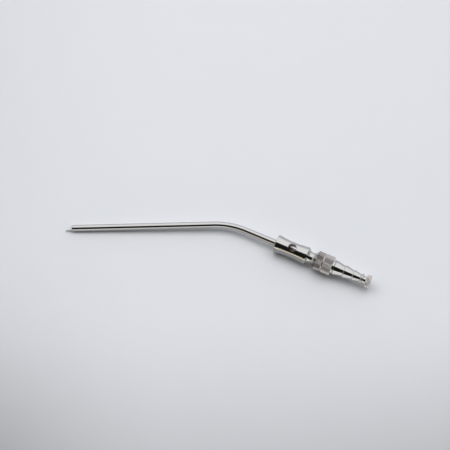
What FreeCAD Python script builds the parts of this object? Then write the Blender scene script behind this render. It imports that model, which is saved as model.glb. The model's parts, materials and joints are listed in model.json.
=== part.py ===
"""Angled surgical suction tube with a finger vent, a screw-on hose connector and a stylet.

A bent stainless tube is brazed into a waisted handle. A hole in the top of the handle
opens into the air way: a fingertip over it sets the suction. Behind the handle's neck a
knurled ring holds the thread of the hose connector, which has a knurled ring of its own,
three barbs for the suction hose and an O-ring. A stylet fills the air way while the tube
is not in use: its plug sits in the connector's bore and its wire runs out of the tip.

Every piece is drawn in the handle's frame: +X along the handle's axis towards the hose,
x = 0 at the handle's front face, the bend in the XY plane with the tip on the -Y side, and
the vent facing +Z. at_rest() then lays the whole instrument on a table at z = 0, where the
handle's front rim, its knurled ring and the tube's tip touch. Lengths are millimetres.
"""

import FreeCAD
import Part

import math
import os

from FreeCAD import Vector

# Suction tube
TUBE_OD = 4.0
TUBE_WALL = 0.3
TIP_LEG = 88.0          # straight length from the bend to the tip
BEND_ANGLE = 25.0       # degrees between the two legs
BEND_RADIUS = 47.0      # of the tube's centreline
HANDLE_LEG = 20.4       # straight length from the handle's front face to the bend
TUBE_SEAT = 6.5         # length of tube inside its bush
TUBE_END_ROUND = 0.13   # rounding of both rims of the tip, so that it does not scratch

# Bush and braze that hold the tube in the handle
BUSH_WALL = 0.9
BRAZE_LEG = 0.35        # of both braze fillets, round the tube and round the stylet's wire

# Handle body
GRIP_OD = 11.1
WAIST_OD = 9.75
GRIP_LENGTH = 20.75
GRIP_LAND = 1.5         # straight stretch at each end of the waist
FRONT_EDGE = 0.25
REAR_EDGE = 0.5
CHAMBER_BACK = 4.45     # from the end of the air chamber under the vent to the grip's rear face
DRILL_POINT = 118.0     # degrees, cone at the end of the chamber
NECK_OD = 6.9
NECK_RADIUS = 3.0       # of the turned groove
NECK_BORE = 4.0
NECK_RISE = 55.0        # degrees, slope from the groove up to the ring
VENT_CENTRE = 10.7      # from the front face
VENT_DIAMETER = 5.2
VENT_EDGE = 0.2

# Knurled rings, one on the handle and one on the connector
RING_OD = 12.0
FIXED_RING_LENGTH = 4.2
LOOSE_RING_LENGTH = 5.85
RING_EDGE = 0.2
LAND_OD = 11.0          # plain land of each ring beside the parting line
LAND_LENGTH = 0.25

# Screw joint between them
THREAD_OD = 8.0
THREAD_PITCH = 0.75
THREAD_TURNS = 3
THREAD_DEPTH = 0.4
THREAD_CREST = 0.1      # flat on each turn, as a share of the pitch
THREAD_RELIEF = 0.45    # plain groove between the last turn and the shoulder
PILOT_STEP = 0.3        # from the thread's root down to the pilot
PILOT_LENGTH = 2.3
FIT = 0.05              # radial gap of every sliding or turning fit

# O-ring on the pilot
SEAL_CORD = 0.8         # diameter of its cord before it is squeezed
SEAL_GROOVE_DEPTH = 0.6
SEAL_GROOVE_WIDTH = 1.2
SEAL_GAP = 0.02         # radial gap inside and outside the squeezed ring

# Hose connector
CONNECTOR_BORE = 3.4
RELIEF_OD = 8.8
RELIEF_LENGTH = 1.15
BARB_LAND = 0.4
BARB_LENGTHS = (6.4, 6.0, 4.9)
BARB_CRESTS = (9.4, 8.3, 7.0)
BARB_ROOTS = (6.9, 5.9, 4.9)
CONNECTOR_END_EDGE = 0.15

# Stylet
WIRE_DIAMETER = 0.7
WIRE_REACH = 4.0        # length of wire past the tip
WIRE_SOCKET = 5.0       # depth of the wire in the plug
WIRE_STRAIGHT = 4.0     # length in line with the plug before the wire starts to sink
WIRE_EASE = 60.0        # radius of the wire's gentle turns
WIRE_DROOP = 14.0       # length inside the tip along which the wire leaves the leg's line
WIRE_GAP = 0.07         # between the wire and the bore, where the wire leaves the tip
WIRE_LEAN = 41.0        # degrees below level of the side on which it leaves
PLUG_LENGTH = 8.0
PLUG_TAPER = 1.4        # length of the cone at the plug's nose
PLUG_TIP_DIAMETER = 2.4
FLANGE_OD = 6.6
FLANGE_LENGTH = 1.7
STEM_OD = 4.7
STEM_LENGTH = 1.9
KNOB_OD = 8.0
KNOB_LENGTH = 2.9
KNOB_EDGE = 0.3
KNOB_DISH_DEPTH = 0.25
KNOB_DISH_OD = 6.0

# Sizes that follow from the ones above
BUSH_OD = TUBE_OD + 2 * BUSH_WALL
PILOT_OD = THREAD_OD - 2 * THREAD_DEPTH - 2 * PILOT_STEP

# Stations along the handle's axis, from the front face
WAIST_MIDDLE = GRIP_LENGTH / 2
CHAMBER_END = GRIP_LENGTH - CHAMBER_BACK
NECK_MIDDLE = GRIP_LENGTH + math.sqrt(
    NECK_RADIUS**2 - ((NECK_OD - GRIP_OD) / 2 + NECK_RADIUS) ** 2
)
RISE_START = NECK_MIDDLE + NECK_RADIUS * math.sin(math.radians(NECK_RISE))
RISE_START_OD = NECK_OD + 2 * NECK_RADIUS * (1 - math.cos(math.radians(NECK_RISE)))
RING_START = RISE_START + (RING_OD - RISE_START_OD) / 2 / math.tan(math.radians(NECK_RISE))
PARTING = RING_START + FIXED_RING_LENGTH + LAND_LENGTH
THREAD_LENGTH = THREAD_TURNS * THREAD_PITCH + THREAD_RELIEF
PILOT_START = PARTING - THREAD_LENGTH - PILOT_LENGTH
BARBS_START = PARTING + LAND_LENGTH + LOOSE_RING_LENGTH + RELIEF_LENGTH
CONNECTOR_END = BARBS_START + sum(BARB_LENGTHS)
PLUG_START = CONNECTOR_END - PLUG_LENGTH
STEM_START = CONNECTOR_END + FLANGE_LENGTH
KNOB_START = STEM_START + STEM_LENGTH


def turned(points):
    """A solid of revolution about X from its closed outline of (x, radius) points.

    A point may be a pair, joined to the one before by a line, or a pair of pairs: the middle
    and the end of an arc.
    """
    edges = []
    start = last = Vector(points[0][0], points[0][1], 0)
    for point in points[1:]:
        if isinstance(point[0], tuple):
            middle, end = (Vector(x, r, 0) for x, r in point)
            edges.append(Part.Arc(last, middle, end).toShape())
        else:
            end = Vector(point[0], point[1], 0)
            edges.append(Part.LineSegment(last, end).toShape())
        last = end
    if last.distanceToPoint(start) > 1e-7:
        edges.append(Part.LineSegment(last, start).toShape())
    face = Part.Face(Part.Wire(edges))
    return face.revolve(Vector(0, 0, 0), Vector(1, 0, 0), 360)


def circles_at(shape, x, radius):
    """The circular edges of a turned shape that lie at one station and have one radius."""
    return [
        edge
        for edge in shape.Edges
        if isinstance(edge.Curve, Part.Circle)
        and abs(edge.Curve.Center.x - x) < 1e-4
        and abs(edge.Curve.Radius - radius) < 1e-4
    ]


def bend_centre():
    """Centre of the tube's bend."""
    return Vector(-HANDLE_LEG, -BEND_RADIUS, 0)


def leg_placement():
    """Placement that carries a piece drawn along -X from the origin onto the tip leg.

    The origin lands on the end of the bend, and -X on the way to the tip.
    """
    turn = FreeCAD.Rotation(Vector(0, 0, 1), BEND_ANGLE)
    bend_end = bend_centre() + turn.multVec(Vector(0, BEND_RADIUS, 0))
    return FreeCAD.Placement(bend_end, turn)


def suction_tube():
    """The bent tube: a leg in the handle, the bend, and the tip leg with rounded rims."""
    outer = TUBE_OD / 2
    inner = outer - TUBE_WALL
    handle_leg = turned(
        [(-HANDLE_LEG, inner), (-HANDLE_LEG, outer), (TUBE_SEAT, outer), (TUBE_SEAT, inner)]
    )

    section = Part.Face(
        [
            Part.Wire(Part.makeCircle(radius, Vector(-HANDLE_LEG, 0, 0), Vector(1, 0, 0)))
            for radius in (outer, inner)
        ]
    )
    bend = section.revolve(bend_centre(), Vector(0, 0, 1), BEND_ANGLE)

    edge = TUBE_END_ROUND
    corner = edge * (1 - math.sqrt(0.5))
    tip_leg = turned(
        [
            (0, inner),
            (0, outer),
            (-TIP_LEG + edge, outer),
            ((-TIP_LEG + corner, outer - corner), (-TIP_LEG, outer - edge)),
            (-TIP_LEG, inner + edge),
            ((-TIP_LEG + corner, inner + corner), (-TIP_LEG + edge, inner)),
        ]
    )
    tip_leg.Placement = leg_placement()
    return handle_leg.fuse([bend, tip_leg]).removeSplitter()


def tube_bush():
    """Plain bush between the tube and the handle's bore, flush with the front face."""
    return turned(
        [(0, TUBE_OD / 2), (0, BUSH_OD / 2), (TUBE_SEAT, BUSH_OD / 2), (TUBE_SEAT, TUBE_OD / 2)]
    )


def braze_fillet(x, inner):
    """Concave fillet of silver braze on a face at x, round a rod of the inner radius.

    The fillet lies on the face's -X side.
    """
    sag = BRAZE_LEG * (1 - math.sqrt(0.5))
    return turned(
        [
            (x - BRAZE_LEG, inner),
            ((x - sag, inner + sag), (x, inner + BRAZE_LEG)),
            (x, inner),
        ]
    )


def handle_body():
    """Waisted grip, neck and fixed knurled ring, turned from one bar, with the vent drilled in."""
    grip = GRIP_OD / 2
    ring = RING_OD / 2
    chamber = BUSH_OD / 2
    neck_bore = NECK_BORE / 2
    drill_cone = (chamber - neck_bore) / math.tan(math.radians(DRILL_POINT / 2))
    pilot_bore = PILOT_OD / 2 + FIT
    thread_bore = THREAD_OD / 2 + FIT
    body = turned(
        [
            (0, chamber),
            (0, grip),
            (GRIP_LAND, grip),
            ((WAIST_MIDDLE, WAIST_OD / 2), (GRIP_LENGTH - GRIP_LAND, grip)),
            (GRIP_LENGTH, grip),
            ((NECK_MIDDLE, NECK_OD / 2), (RISE_START, RISE_START_OD / 2)),
            (RING_START, ring),
            (PARTING - LAND_LENGTH - RING_EDGE, ring),
            (PARTING - LAND_LENGTH, ring - RING_EDGE),
            (PARTING - LAND_LENGTH, LAND_OD / 2),
            (PARTING, LAND_OD / 2),
            (PARTING, thread_bore),
            (PARTING - THREAD_LENGTH - FIT, thread_bore),
            (PARTING - THREAD_LENGTH - FIT, pilot_bore),
            (PILOT_START - FIT, pilot_bore),
            (PILOT_START - FIT, neck_bore),
            (CHAMBER_END + drill_cone, neck_bore),
            (CHAMBER_END, chamber),
        ]
    )
    body = body.makeFillet(REAR_EDGE, circles_at(body, GRIP_LENGTH, grip))
    body = body.makeFillet(FRONT_EDGE, circles_at(body, 0, grip))

    vent = VENT_DIAMETER / 2
    vent_foot = Vector(VENT_CENTRE, 0, 0)
    up = Vector(0, 0, 1)
    drill = Part.makeCylinder(vent, grip, vent_foot, up)
    edge_height = WAIST_OD / 2 - VENT_EDGE
    countersink = Part.makeCone(
        vent, vent + 2 * VENT_EDGE, 2 * VENT_EDGE, vent_foot + up * edge_height, up
    )
    return body.cut([drill, countersink])


def hose_connector():
    """Threaded and piloted spigot, loose knurled ring and three barbs, bored right through."""
    bore = CONNECTOR_BORE / 2
    pilot = PILOT_OD / 2
    thread = THREAD_OD / 2
    land = LAND_OD / 2
    ring = RING_OD / 2
    relief = RELIEF_OD / 2
    edge = CONNECTOR_END_EDGE

    groove_middle = PILOT_START + PILOT_LENGTH / 2
    groove_half = SEAL_GROOVE_WIDTH / 2
    groove_floor = pilot - SEAL_GROOVE_DEPTH
    outline = [
        (PILOT_START, bore),
        (PILOT_START, pilot - edge),
        (PILOT_START + edge, pilot),
        (groove_middle - groove_half, pilot),
        (groove_middle - groove_half, groove_floor),
        (groove_middle + groove_half, groove_floor),
        (groove_middle + groove_half, pilot),
    ]

    thread_start = PARTING - THREAD_LENGTH
    thread_root = thread - THREAD_DEPTH
    outline.append((thread_start, pilot))
    for turn in range(THREAD_TURNS):
        root_x = thread_start + turn * THREAD_PITCH
        crest_x = root_x + (1 - THREAD_CREST) / 2 * THREAD_PITCH
        outline.append((root_x, thread_root))
        outline.append((crest_x, thread))
        outline.append((crest_x + THREAD_CREST * THREAD_PITCH, thread))
    outline.append((PARTING - THREAD_RELIEF, thread_root))
    outline.append((PARTING, thread_root))

    ring_start = PARTING + LAND_LENGTH
    ring_end = ring_start + LOOSE_RING_LENGTH
    outline += [
        (PARTING, land),
        (ring_start, land),
        (ring_start, ring - RING_EDGE),
        (ring_start + RING_EDGE, ring),
        (ring_end - RING_EDGE, ring),
        (ring_end, ring - RING_EDGE),
        (ring_end, relief),
        (BARBS_START, relief),
    ]
    barb_start = BARBS_START
    for length, crest, root in zip(BARB_LENGTHS, BARB_CRESTS, BARB_ROOTS):
        outline.append((barb_start, crest / 2))
        outline.append((barb_start + BARB_LAND, crest / 2))
        barb_start += length
        outline.append((barb_start, root / 2))
    last_root = BARB_ROOTS[-1] / 2
    outline[-1] = (CONNECTOR_END - edge, last_root)
    outline += [(CONNECTOR_END, last_root - edge), (CONNECTOR_END, bore)]
    return turned(outline)


def connector_seal():
    """O-ring in the pilot's groove, squeezed between the groove's floor and the handle's bore.

    Its section is a rectangle with two round ends, as large in area as the round cord was.
    """
    inner = PILOT_OD / 2 - SEAL_GROOVE_DEPTH + SEAL_GAP
    outer = PILOT_OD / 2 + FIT - SEAL_GAP
    end = (outer - inner) / 2
    flat = math.pi * ((SEAL_CORD / 2) ** 2 - end**2) / (2 * end)
    middle = PILOT_START + PILOT_LENGTH / 2
    left = middle - flat / 2
    right = middle + flat / 2
    centre = inner + end
    return turned(
        [
            (left, inner),
            ((left - end, centre), (left, outer)),
            (right, outer),
            ((right + end, centre), (right, inner)),
        ]
    )


def stylet_head():
    """Plug, flange, stem and knob, turned from one bar, with a socket for the wire."""
    plug = CONNECTOR_BORE / 2 - FIT
    flange = FLANGE_OD / 2
    stem = STEM_OD / 2
    knob = KNOB_OD / 2
    knob_end = KNOB_START + KNOB_LENGTH
    bulge = FLANGE_LENGTH / 2
    flange_edge = flange - bulge * (1 - math.sqrt(0.5))
    wire = WIRE_DIAMETER / 2
    return turned(
        [
            (PLUG_START + WIRE_SOCKET, 0),
            (PLUG_START + WIRE_SOCKET, wire),
            (PLUG_START, wire),
            (PLUG_START, PLUG_TIP_DIAMETER / 2),
            (PLUG_START + PLUG_TAPER, plug),
            (CONNECTOR_END, plug),
            (CONNECTOR_END, flange - bulge),
            (
                (CONNECTOR_END + bulge * (1 - math.sqrt(0.5)), flange_edge),
                (CONNECTOR_END + bulge, flange),
            ),
            (
                (STEM_START - bulge * (1 - math.sqrt(0.5)), flange_edge),
                (STEM_START, flange - bulge),
            ),
            (STEM_START, stem),
            (KNOB_START, stem),
            (KNOB_START, knob - KNOB_EDGE),
            (KNOB_START + KNOB_EDGE, knob),
            (knob_end - KNOB_EDGE, knob),
            (knob_end, knob - KNOB_EDGE),
            (knob_end, KNOB_DISH_OD / 2),
            (knob_end - KNOB_DISH_DEPTH, 0),
        ]
    )


def rounded_path(points, radii):
    """A wire of straight runs joined by tangent arcs, one radius for each inner point."""
    edges = []
    last = points[0]
    for before, corner, after, radius in zip(points, points[1:], points[2:], radii):
        back = (before - corner).normalize()
        ahead = (after - corner).normalize()
        half_turn = (math.pi - back.getAngle(ahead)) / 2
        setback = radius * math.tan(half_turn)
        to_centre = (back + ahead).normalize()
        centre = corner + to_centre * (radius / math.cos(half_turn))
        arc_start = corner + back * setback
        arc_end = corner + ahead * setback
        edges.append(Part.LineSegment(last, arc_start).toShape())
        edges.append(Part.Arc(arc_start, centre - to_centre * radius, arc_end).toShape())
        last = arc_end
    edges.append(Part.LineSegment(last, points[-1]).toShape())
    return Part.Wire(edges)


def stylet_wire():
    """Soft wire from the plug through the handle and the tube, and out of the tip.

    It lies low in the tube's bore, and its free end droops and leans towards the bend's centre.
    """
    room = TUBE_OD / 2 - TUBE_WALL - WIRE_DIAMETER / 2
    low = room / 2
    lean = math.radians(WIRE_LEAN)
    half_bend = math.radians(BEND_ANGLE / 2)
    corner_x = -HANDLE_LEG - BEND_RADIUS * math.tan(half_bend)
    leg = leg_placement()
    droop_start = Vector(WIRE_DROOP - TIP_LEG, 0, -low)
    at_tip = Vector(-TIP_LEG, -math.cos(lean) * (room - WIRE_GAP), -math.sin(lean) * (room - WIRE_GAP))
    free_end = at_tip + (at_tip - droop_start) * (WIRE_REACH / WIRE_DROOP)
    points = [
        Vector(PLUG_START + WIRE_SOCKET, 0, 0),
        Vector(PLUG_START - WIRE_STRAIGHT, 0, 0),
        Vector(corner_x, 0, -low),
        leg.multVec(droop_start),
        leg.multVec(free_end),
    ]
    path = rounded_path(points, [WIRE_EASE, BEND_RADIUS, WIRE_EASE])
    start_circle = Part.Wire(Part.makeCircle(WIRE_DIAMETER / 2, points[0], Vector(1, 0, 0)))
    return path.makePipeShell([start_circle], True, True)


def at_rest():
    """Rotation and height that lay the instrument on the table.

    The front rim and the fixed ring set the pitch of the handle's axis, and the tip sets how
    far the instrument rolls about that axis.
    """
    rim_x, rim_radius = FRONT_EDGE, GRIP_OD / 2
    ring_x, ring_radius = RING_START, RING_OD / 2
    pitch = math.atan((ring_radius - rim_radius) / (ring_x - rim_x))
    height = rim_radius * math.cos(pitch) - rim_x * math.sin(pitch)
    tip = leg_placement().multVec(Vector(-TIP_LEG + TUBE_END_ROUND, 0, 0))
    bend = math.radians(BEND_ANGLE)
    roll = 0.0
    for _ in range(8):
        leg_fall = math.cos(bend) * math.sin(pitch) + math.sin(bend) * math.sin(roll) * math.cos(pitch)
        tube_drop = TUBE_OD / 2 * math.sqrt(1 - leg_fall**2)
        roll = math.asin((tube_drop - height - tip.x * math.sin(pitch)) / (tip.y * math.cos(pitch)))
    rotation = FreeCAD.Rotation(Vector(0, -1, 0), math.degrees(pitch)) * FreeCAD.Rotation(
        Vector(1, 0, 0), math.degrees(roll)
    )
    return FreeCAD.Placement(Vector(0, 0, height), rotation)


def main():
    """Builds every piece, lays the instrument on the table and writes one file for each."""
    pieces = {
        "suction_tube": suction_tube(),
        "tube_bush": tube_bush(),
        "tube_braze": braze_fillet(0, TUBE_OD / 2),
        "handle_body": handle_body(),
        "hose_connector": hose_connector(),
        "connector_seal": connector_seal(),
        "stylet_head": stylet_head(),
        "stylet_braze": braze_fillet(PLUG_START, WIRE_DIAMETER / 2),
        "stylet_wire": stylet_wire(),
    }
    rest = at_rest()
    box = FreeCAD.BoundBox()
    for shape in pieces.values():
        box.add(shape.transformed(rest.toMatrix(), copy=True).optimalBoundingBox(False, False))
    rest.Base = rest.Base - Vector(box.Center.x, box.Center.y, 0)

    os.makedirs("parts", exist_ok=True)
    for name, shape in pieces.items():
        placed = shape.transformed(rest.toMatrix(), copy=True)
        placed.exportStep(f"parts/{name}.step")
        print(f"{name}: {len(placed.Solids)} solid, {placed.Volume:.2f} mm3, valid {placed.isValid()}")

    leg = leg_placement()
    vent_height = (WAIST_OD / 2 + BUSH_OD / 2) / 2
    places = {
        "handle axis, front face": (Vector(0, 0, 0), Vector(1, 0, 0)),
        "hose barb": (Vector(BARBS_START + BARB_LAND / 2, 0, 0), Vector(1, 0, 0)),
        "vent": (Vector(VENT_CENTRE, 0, vent_height), Vector(0, 0, 1)),
        "tip leg": (leg.multVec(Vector(-TIP_LEG / 2, 0, 0)), leg.Rotation.multVec(Vector(-1, 0, 0))),
        "parting line": (Vector(PARTING, 0, 0), Vector(1, 0, 0)),
    }
    for name, (point, axis) in places.items():
        point = rest.multVec(point)
        axis = rest.Rotation.multVec(axis)
        print(f"{name}: at {[round(v, 5) for v in point]} along {[round(v, 7) for v in axis]}")


main()
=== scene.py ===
"""Looks of a surgical aspirator tube: polished steel pieces, studio floor, light and camera.

Sizes are millimetres in the handle's own frame: +X along the handle's axis towards the hose,
x = 0 at the handle's front face, the bend in the XY plane with the tip on the -Y side, and
the finger vent facing +Z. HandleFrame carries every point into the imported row's frame, in
metres. Round pieces are outlines of (x, radius) points turned about an axis or carried along
a path. A place along an axis or a path is called a station.
"""

from __future__ import annotations

import json
import logging
import math
from dataclasses import dataclass, field
from enum import Enum, IntEnum
from typing import Any, Callable, Sequence

import bpy
import numpy as np
from mathutils import Matrix, Vector


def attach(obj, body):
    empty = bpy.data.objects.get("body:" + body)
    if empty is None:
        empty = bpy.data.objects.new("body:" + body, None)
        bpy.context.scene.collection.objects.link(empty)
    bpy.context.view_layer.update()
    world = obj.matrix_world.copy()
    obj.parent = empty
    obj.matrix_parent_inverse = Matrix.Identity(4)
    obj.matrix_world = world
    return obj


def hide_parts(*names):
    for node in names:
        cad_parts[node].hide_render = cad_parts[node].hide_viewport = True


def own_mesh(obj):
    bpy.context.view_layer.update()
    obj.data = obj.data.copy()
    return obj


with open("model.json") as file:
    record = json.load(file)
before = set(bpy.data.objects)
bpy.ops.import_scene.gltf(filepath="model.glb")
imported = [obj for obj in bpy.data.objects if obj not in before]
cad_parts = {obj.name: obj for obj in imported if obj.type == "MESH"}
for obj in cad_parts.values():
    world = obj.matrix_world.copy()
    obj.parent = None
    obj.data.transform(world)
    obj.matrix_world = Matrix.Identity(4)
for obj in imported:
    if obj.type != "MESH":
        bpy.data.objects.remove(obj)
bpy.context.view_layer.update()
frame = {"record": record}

LOG = logging.getLogger("aspirator")
MM = 0.001
HAIR = 1e-6
Array = np.ndarray
Span = tuple[float, float]
Colour = tuple[float, float, float]
Tint = Colour | bpy.types.NodeSocket
BLACK = (0.0, 0.0, 0.0)


class Surface(IntEnum):
    """Kinds of surface that one turned piece can show, in the order of its finishes."""

    POLISHED = 0
    KNURLED = 1
    BORED = 2


# --------------------------------------------------------------------------- sizes


@dataclass(frozen=True)
class TubeSizes:
    """Sizes of the bent suction tube, its bush and its braze."""

    radius: float = 2.0
    wall: float = 0.3
    tip_leg: float = 88.0
    bend: float = math.radians(25.0)
    bend_radius: float = 47.0
    handle_leg: float = 20.4
    seat: float = 6.5
    lip_length: float = 0.6
    lip_drop: float = 0.22
    rim_round: float = 0.03
    bush_radius: float = 2.9
    bush_round: float = 0.04
    braze_leg: float = 0.35

    @property
    def bore(self) -> float:
        """Radius of the tube's bore."""
        return self.radius - self.wall

    @property
    def length(self) -> float:
        """Length along the path from the handle's front face to the tip."""
        return self.handle_leg + self.bend * self.bend_radius + self.tip_leg


@dataclass(frozen=True)
class HandleSizes:
    """Sizes of the handle body and of both knurled rings."""

    grip: float = 5.55
    waist: float = 4.875
    length: float = 20.75
    land: float = 1.5
    front_edge: float = 0.25
    rear_edge: float = 0.5
    chamber: float = 2.9
    chamber_back: float = 4.45
    neck: float = 3.45
    neck_radius: float = 3.0
    neck_bore: float = 2.0
    neck_rise: float = math.radians(55.0)
    neck_setback: float = 0.14
    drill_point: float = math.radians(59.0)
    vent: float = 2.6
    vent_x: float = 10.7
    vent_edge: float = 0.2
    ring: float = 6.0
    ring_edge: float = 0.2
    ring_start: float = 0.02
    ring_round: float = 0.06
    fixed_ring: float = 4.2
    loose_ring: float = 5.85
    land_radius: float = 5.5
    land_length: float = 0.25
    land_root: float = 0.05
    land_round: float = 0.08
    knurl_depth: float = 0.17

    @property
    def waist_x(self) -> float:
        """Station of the waist's thinnest place."""
        return self.length / 2

    @property
    def neck_x(self) -> float:
        """Station of the neck's thinnest place."""
        rise = self.neck + self.neck_radius - self.grip
        return self.length + math.sqrt(self.neck_radius**2 - rise**2)

    @property
    def ring_x(self) -> float:
        """Station where the fixed ring starts, at the end of the cone that leaves the neck's groove."""
        x = self.neck_x + self.neck_radius * math.sin(self.neck_rise)
        radius = self.neck + self.neck_radius * (1 - math.cos(self.neck_rise))
        return x + (self.ring - radius) / math.tan(self.neck_rise)

    @property
    def ring_end(self) -> float:
        """Station where the fixed ring's rear chamfer starts."""
        return self.ring_x + self.fixed_ring - self.ring_edge

    @property
    def parting(self) -> float:
        """Station of the plane in which the connector meets the handle."""
        return self.ring_x + self.fixed_ring + self.land_length

    @property
    def loose_x(self) -> float:
        """Station where the loose ring's first chamfer ends."""
        return self.parting + self.land_length + self.ring_edge

    @property
    def loose_end(self) -> float:
        """Station where the loose ring's last chamfer starts."""
        return self.loose_x + self.loose_ring - 2 * self.ring_edge


@dataclass(frozen=True)
class JointSizes:
    """Sizes of the screw joint and its O-ring."""

    thread: float = 4.0
    pitch: float = 0.75
    turns: int = 3
    depth: float = 0.4
    relief: float = 0.45
    pilot: float = 3.3
    pilot_length: float = 2.3
    fit: float = 0.05
    step: float = 0.01
    groove_depth: float = 0.6
    groove_width: float = 1.2
    groove_edge: float = 0.04
    groove_root: float = 0.08
    cord: float = 0.4
    seal_gap: float = 0.02

    @property
    def length(self) -> float:
        """Length of the thread with its relief groove."""
        return self.turns * self.pitch + self.relief


@dataclass(frozen=True)
class ConnectorSizes:
    """Sizes of the hose end of the connector."""

    bore: float = 1.7
    relief: float = 4.4
    relief_length: float = 1.15
    relief_round: float = 0.1
    barb_land: float = 0.4
    barb_lengths: tuple[float, ...] = (6.4, 6.0, 4.9)
    crests: tuple[float, ...] = (4.7, 4.15, 3.5)
    roots: tuple[float, ...] = (3.45, 2.95, 2.45)
    crest_round: float = 0.5
    land_edge: float = 0.05
    root_round: float = 0.08
    end_edge: float = 0.15

    def barbs_x(self, handle: HandleSizes) -> float:
        """Station of the first barb's crest."""
        return handle.loose_end + handle.ring_edge + self.relief_length


@dataclass(frozen=True)
class StyletSizes:
    """Sizes of the stylet's head and wire."""

    wire: float = 0.35
    reach: float = 4.0
    socket: float = 5.0
    straight: float = 4.0
    ease: float = 60.0
    droop: float = 14.0
    gap: float = 0.07
    lean: float = math.radians(41.0)
    plug_length: float = 8.0
    plug_taper: float = 1.4
    plug_tip: float = 1.2
    taper_round: float = 0.4
    flange: float = 3.3
    flange_length: float = 1.7
    stem: float = 2.35
    stem_length: float = 1.9
    knob: float = 4.0
    knob_length: float = 2.9
    knob_edge: float = 0.3
    knurl_depth: float = 0.11
    dish: float = 3.0
    dish_depth: float = 0.25
    small_round: float = 0.1


# --------------------------------------------------------------------------- places


@dataclass(frozen=True)
class HandleFrame:
    """The handle's frame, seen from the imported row's frame.

    Attributes:
        origin: centre of the handle's front face, in metres.
        axes: unit vectors of the handle's x, y and z axes, one to a row.
    """

    origin: Array
    axes: Array

    @classmethod
    def from_record(cls, record: dict[str, Any], barb_x: float, bend: float) -> HandleFrame:
        """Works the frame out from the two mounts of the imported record.

        The hose barb gives the x axis. The tip leg leaves it by the bend's angle towards -y.

        Args:
            record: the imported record.
            barb_x: station of the hose barb's mount.
            bend: angle of the tube's bend, in radians.

        Returns:
            The handle's frame.
        """
        mounts = {mount["name"]: mount for mount in record["mounts"]}
        along = np.array(mounts["hose_barb"]["axis"], float)
        along /= np.linalg.norm(along)
        side = -(np.array(mounts["tip_tube"]["axis"], float) + along * math.cos(bend))
        side -= along * (side @ along)
        side /= np.linalg.norm(side)
        origin = np.array(mounts["hose_barb"]["pos_m"], float) - along * barb_x * MM
        return cls(origin, np.stack([along, side, np.cross(along, side)]))

    def place(self, points: Array) -> Array:
        """Carries points from the handle's frame, in mm, into the row's, in metres."""
        return self.origin + points * MM @ self.axes

    def euler(self) -> tuple[float, float, float]:
        """Euler angles that turn row coordinates into the handle's, for a Mapping node."""
        return tuple(Matrix(self.axes.tolist()).to_euler())


def corner_arc(before: Array, corner: Array, after: Array, radius: float) -> tuple[Array, ...]:
    """Finds the arc that rounds a corner and touches both of its straight runs.

    Its ends are set back from the corner by the radius times the tangent of half the turn.

    Args:
        before: a point on the run that comes in.
        corner: the corner.
        after: a point on the run that leaves.
        radius: the arc's radius.

    Returns:
        The arc's start, centre and end, and the unit vector from the corner to the centre.
    """
    back = before - corner
    ahead = after - corner
    back /= np.linalg.norm(back)
    ahead /= np.linalg.norm(ahead)
    half_turn = (math.pi - math.acos(float(np.clip(back @ ahead, -1, 1)))) / 2
    inward = (back + ahead) / np.linalg.norm(back + ahead)
    setback = radius * math.tan(half_turn)
    centre = corner + inward * radius / math.cos(half_turn)
    return corner + back * setback, centre, corner + ahead * setback, inward


# --------------------------------------------------------------------------- outlines


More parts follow.
